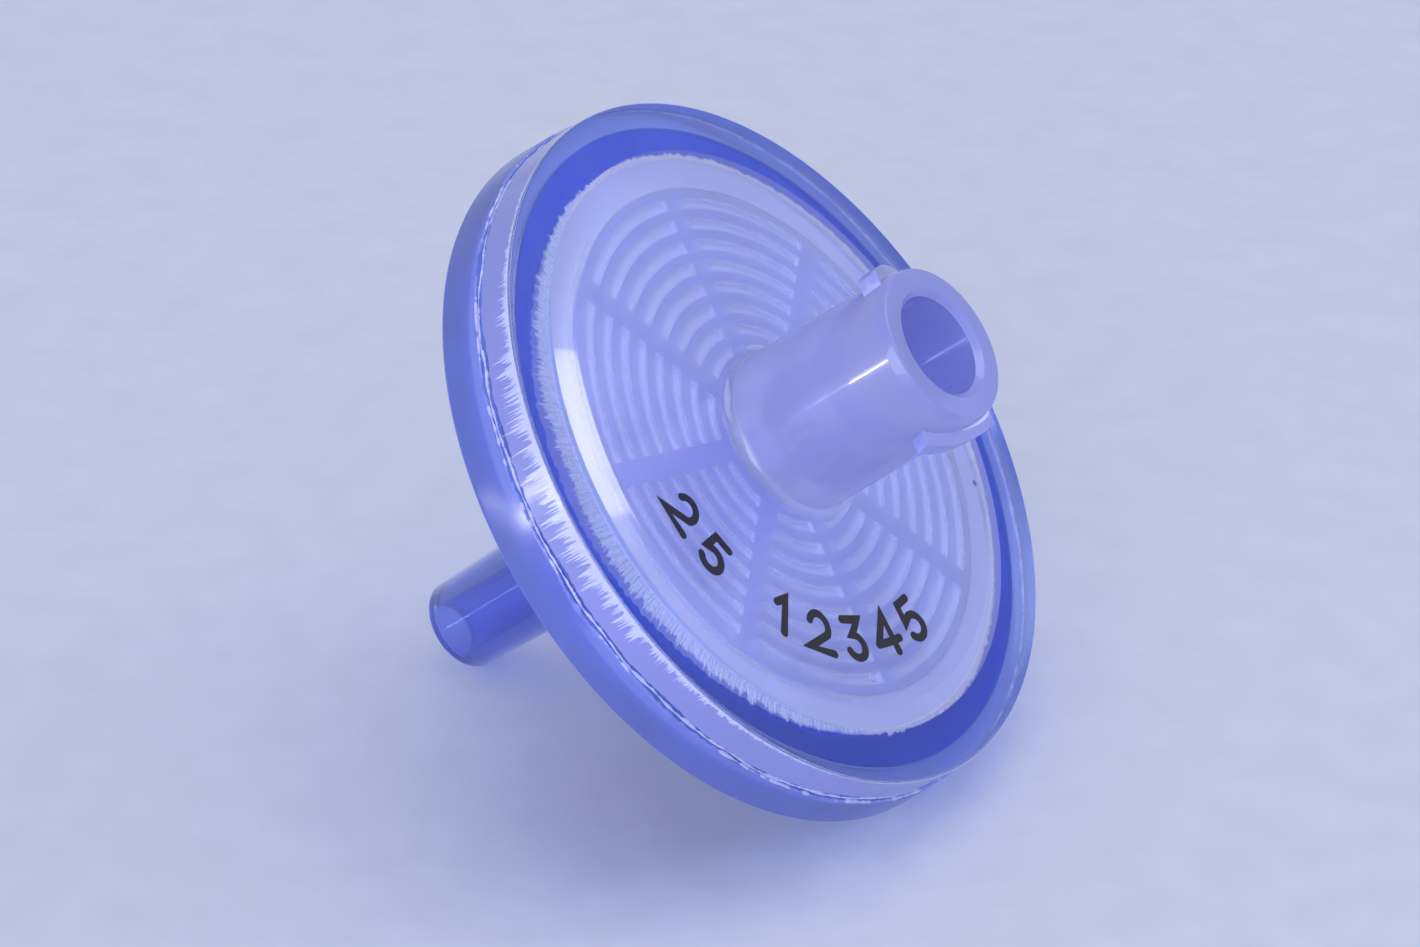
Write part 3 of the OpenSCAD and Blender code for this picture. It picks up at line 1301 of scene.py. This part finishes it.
@dataclass
class Fleck(Part):
    """A tiny dark grain moulded into the inlet half, with its foot at a depth under the face.

    It lies out from the axis by the distance out, at a turn in degrees.
    """

    radius: float = 0.13
    out: float = 11.6
    turn: float = 50.5
    depth: float = 0.2
    grey: Finish = MattFinish(
        "fleck_grey", (0.10, 0.11, 0.30), (0.16, 0.17, 0.40), grain=12.0
    )

    def build(self) -> list[Piece]:
        """Builds and dresses the grain.

        Returns:
            The grain.
        """
        low = self.sizes.face_z - self.depth
        grain = Outline(
            Corner(0.01, low),
            Corner(self.radius * 0.8, low + 0.01),
            Corner(self.radius, low + 0.03),
            Corner(self.radius * 0.6, low + 0.06),
            Corner(0.01, low + 0.065),
        ).lathe("face_fleck", steps=24)
        grain.move(beside_axis(self.out, self.turn))
        return [self.piece(grain, self.grey)]


@dataclass(frozen=True)
class Stroke:
    """One stroke of a figure: a path of even width with round ends, given by its middle line."""

    path: tuple[Point, ...]

    @staticmethod
    def bow(x: float, y: float, radius: float, start: float, end: float) -> tuple[Point, ...]:
        """Points of a round part of a stroke, about (x, y) from one angle in degrees to another."""
        turns = np.radians(np.linspace(start, end, 18))
        return tuple((x + radius * math.cos(t), y + radius * math.sin(t)) for t in turns)

    @staticmethod
    def cap(point: Vector, way: Vector, half: float) -> list[Vector]:
        """Points of a round end, from its left side to its right side.

        Args:
            point: End of the middle line.
            way: Direction out of the stroke.
            half: Half the stroke's width.

        Returns:
            The points between the two sides.
        """
        side = Vector((-way.y, way.x))
        turns = [math.pi * k / 8 for k in range(1, 8)]
        return [point + side * half * math.cos(t) + way * half * math.sin(t) for t in turns]

    def solid(self, half: float, scale: float, thick: float) -> Solid:
        """Makes the stroke as a thin flat solid.

        Args:
            half: Half the stroke's width, in millimetres.
            scale: Millimetres in one unit of the path.
            thick: Thickness, in millimetres.

        Returns:
            The solid, lying on z = 0.
        """
        line = [Vector(p) * scale for p in self.path]
        ways = [(b - a).normalized() for a, b in zip(line, line[1:])]
        left, right = [], []
        for i, point in enumerate(line):
            before, after = ways[max(i - 1, 0)], ways[min(i, len(ways) - 1)]
            middle = (before + after).normalized()
            side = Vector((-middle.y, middle.x)) * (half / max(middle.dot(after), 0.4))
            left.append(point + side)
            right.append(point - side)
        ring = left + self.cap(line[-1], ways[-1], half) + right[::-1]
        ring += self.cap(line[0], -ways[0], half)
        count = len(ring)
        verts = [(p.x, p.y, z) for z in (0, thick) for p in ring]
        faces = [tuple(range(count))[::-1], tuple(range(count, 2 * count))]
        faces += [(i, (i + 1) % count, (i + 1) % count + count, i + count) for i in range(count)]
        return Solid("figure", verts, faces)


FIGURES: dict[str, tuple[Stroke, ...]] = {
    "1": (Stroke(((0.2, 0.76), (0.5, 1.0), (0.5, 0.0))),),
    "2": (Stroke((*Stroke.bow(0.42, 0.67, 0.33, 165, -35), (0.05, 0.0), (0.82, 0.0))),),
    "3": (Stroke(((0.1, 1.0), (0.74, 1.0), (0.36, 0.6), *Stroke.bow(0.4, 0.3, 0.3, 75, -155))),),
    "4": (Stroke(((0.62, 0.0), (0.62, 1.0), (0.0, 0.3))), Stroke(((0.0, 0.3), (0.88, 0.3)))),
    "5": (
        Stroke(((0.74, 1.0), (0.2, 1.0), (0.13, 0.52), *Stroke.bow(0.42, 0.31, 0.31, 120, -150))),
    ),
}


@dataclass
class FacePrint(Part):
    """Plain numbers printed round the inlet face, their feet outwards.

    Attributes:
        groups: Each number and the turn of its middle, in degrees.
        foot_r: Distance of the figures' feet from the axis.
        height: Height of a figure between the middles of its strokes.
        middle: Place of a figure's middle across its cell, as a share of its height.
        pitch: Distance between the middles of two figures.
        weight: Width of a stroke.
        thick: Thickness of the ink.
        lift: Gap between the face and the ink.
        ink: Finish of the ink.
    """

    groups: tuple[tuple[str, float], ...] = (("25", -89.5), ("12345", -31.5))
    foot_r: float = 9.9
    height: float = 1.65
    middle: float = 0.42
    pitch: float = 2.1
    weight: float = 0.36
    thick: float = 0.012
    lift: float = 0.003
    ink: Finish = MattFinish(
        "print_ink", (0.006, 0.006, 0.012), (0.012, 0.012, 0.02), roughness=(0.3, 0.5), grain=6.0
    )

    def figure(self, sign: str) -> Solid:
        """Makes one figure, flat on z = 0 with its foot on the x axis."""
        strokes = FIGURES[sign]
        flat, *others = (s.solid(self.weight / 2, self.height, self.thick) for s in strokes)
        for other in others:
            flat.join(other, Join.ADD)
        return flat

    def bend(self, point: Vector, shift: float, turn: float) -> Place:
        """Lays a point of a flat figure on the face, round the axis.

        Args:
            point: The point, in metres.
            shift: How far the figure stands from the number's middle, in millimetres.
            turn: Turn of the number's middle, in degrees.

        Returns:
            The point's place, in millimetres.
        """
        x, y, z = (c / MM for c in point)
        r = self.foot_r - y
        angle = math.radians(turn) + (shift + x) / (self.foot_r - self.height / 2)
        return r * math.cos(angle), r * math.sin(angle), self.sizes.face_z + self.lift + z

    def number(self, word: str, turn: float) -> Solid:
        """Makes one number round the axis.

        Args:
            word: Its figures.
            turn: Turn of its middle, in degrees.

        Returns:
            The solid of all its figures.
        """
        verts, faces = [], []
        for i, sign in enumerate(word):
            flat = self.figure(sign).obj
            shift = (i - (len(word) - 1) / 2) * self.pitch - self.middle * self.height
            start = len(verts)
            verts += [self.bend(vert.co, shift, turn) for vert in flat.data.vertices]
            faces += [tuple(start + v for v in face.vertices) for face in flat.data.polygons]
            bpy.data.objects.remove(flat)
        return Solid(f"print_{word}", verts, faces)

    def build(self) -> list[Piece]:
        """Builds and dresses the numbers, whose flat faces aren't smoothed."""
        slot = "inlet_housing"
        return [Piece(self.number(*group), self.stand, slot, self.ink) for group in self.groups]


# ---- studio


@dataclass(frozen=True)
class Softbox:
    """A large soft lamp that looks at the filter.

    Attributes:
        name: Name of the lamp.
        towards: Direction from the filter to the lamp.
        distance: Distance to the lamp, in metres.
        size: Width and height, in metres.
        power: Power in watts.
        colour: Colour of the light.
    """

    name: str
    towards: tuple[float, float, float]
    distance: float
    size: tuple[float, float]
    power: float
    colour: Colour = (1.0, 1.0, 1.0)

    def place(self, aim: Vector) -> None:
        """Puts the lamp in the scene, unseen by the camera.

        Args:
            aim: The point that the lamp looks at.
        """
        data = bpy.data.lights.new(self.name, "AREA")
        data.shape, data.size, data.size_y = "RECTANGLE", *self.size
        data.energy, data.color = self.power, self.colour
        lamp = bpy.data.objects.new(self.name, data)
        way = Vector(self.towards).normalized()
        lamp.location = aim + way * self.distance
        lamp.rotation_euler = way.to_track_quat("Z", "Y").to_euler()
        lamp.visible_camera = False
        bpy.context.scene.collection.objects.link(lamp)


@dataclass
class Studio:
    """Plain pale floor, soft lamps and the camera.

    Attributes:
        floor: Finish of the floor.
        sky: Colour of the even light all round.
        sky_power: Strength of that light.
        lens: Focal length of the camera, in millimetres.
        azimuth: Direction of the view about the upright axis, in degrees.
        elevation: Height of the camera over the horizon, in degrees.
        roll: Tilt of the camera about its line of sight, in degrees.
        distance: Distance of the camera, in metres.
        aim: Point that the camera looks at, from the middle of the box's foot.
    """

    floor: MattFinish = MattFinish(
        "pale_floor", (0.66, 0.685, 0.79), (0.70, 0.725, 0.83), grain=0.4, relief=0.01
    )
    sky: Colour = (0.75, 0.81, 1.0)
    sky_power: float = 0.56
    lens: float = 126.76
    azimuth: float = 24.04
    elevation: float = 28.65
    roll: float = 0.47
    distance: float = 0.2047
    aim: Vector = field(default_factory=lambda: Vector((-0.00003, -0.00017, 0.0116)))

    def lamps(self) -> list[Softbox]:
        """The lamps: a key behind, two soft cool boxes, and two small ones for the highlights.

        Returns:
            The key, the box overhead, the highlights of rim and socket, and the fill in front.
        """
        cool = (0.86, 0.90, 1.0)
        return [
            Softbox("key", (0.642, 0.475, 0.602), 0.40, (0.093, 0.075), 0.12),
            Softbox("overhead", (0.05, 0.10, 0.99), 0.60, (0.40, 0.40), 1.0, cool),
            Softbox("rim_strip", (-0.705, -0.71, 0.012), 0.40, (0.10, 0.014), 0.044),
            Softbox("hub_strip", (-0.57, -0.79, 0.03), 0.40, (0.012, 0.03), 0.10),
            Softbox("fill", (0.05, -0.95, 0.30), 0.60, (0.60, 0.36), 1.8, cool),
        ]

    def build(self) -> None:
        """Makes the floor, the lamps, the even light and the camera."""
        self.lay_floor()
        for lamp in self.lamps():
            lamp.place(self.aim)
        world = bpy.data.worlds.new("even_light")
        world.use_nodes = True
        light = world.node_tree.nodes["Background"]
        light.inputs["Color"].default_value = (*self.sky, 1)
        light.inputs["Strength"].default_value = self.sky_power
        bpy.context.scene.world = world
        bpy.context.scene.view_settings.view_transform = "Standard"
        self.set_camera()

    def lay_floor(self) -> None:
        """Lays the pale floor just under the filter."""
        half = 1200.0
        verts = [(-half, -half, 0), (half, -half, 0), (half, half, 0), (-half, half, 0)]
        floor = Solid("floor", verts, [(0, 1, 2, 3)]).obj
        floor.data.materials.append(self.floor.make())

    def set_camera(self) -> None:
        """Makes the camera and looks at the filter from the given side."""
        a, e = math.radians(self.azimuth), math.radians(self.elevation)
        back = Vector((math.sin(a) * math.cos(e), -math.cos(a) * math.cos(e), math.sin(e)))
        data = bpy.data.cameras.new("camera")
        data.lens, data.sensor_width, data.clip_start = self.lens, 36.0, 0.01
        camera = bpy.data.objects.new("camera", data)
        camera.location = self.aim + back * self.distance
        level = back.to_track_quat("Z", "Y")
        camera.rotation_euler = (level @ Quaternion((0, 0, 1), math.radians(self.roll))).to_euler()
        bpy.context.scene.collection.objects.link(camera)
        bpy.context.scene.camera = camera


def main() -> None:
    """Builds the filter and its studio, piece by piece."""
    logging.basicConfig(level=logging.INFO, format="%(message)s")
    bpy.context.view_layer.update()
    sizes = Sizes()
    stand = Stand.from_record(sizes)
    Studio().build()
    halves = InletHousing, FilterMembrane, OutletHousing
    for part in (*halves, WeldFlash, MeltFringe, MeltSkirt, Fleck, FacePrint):
        for piece in part(sizes, stand).build():
            piece.report()


if __name__ == "__main__":
    main()
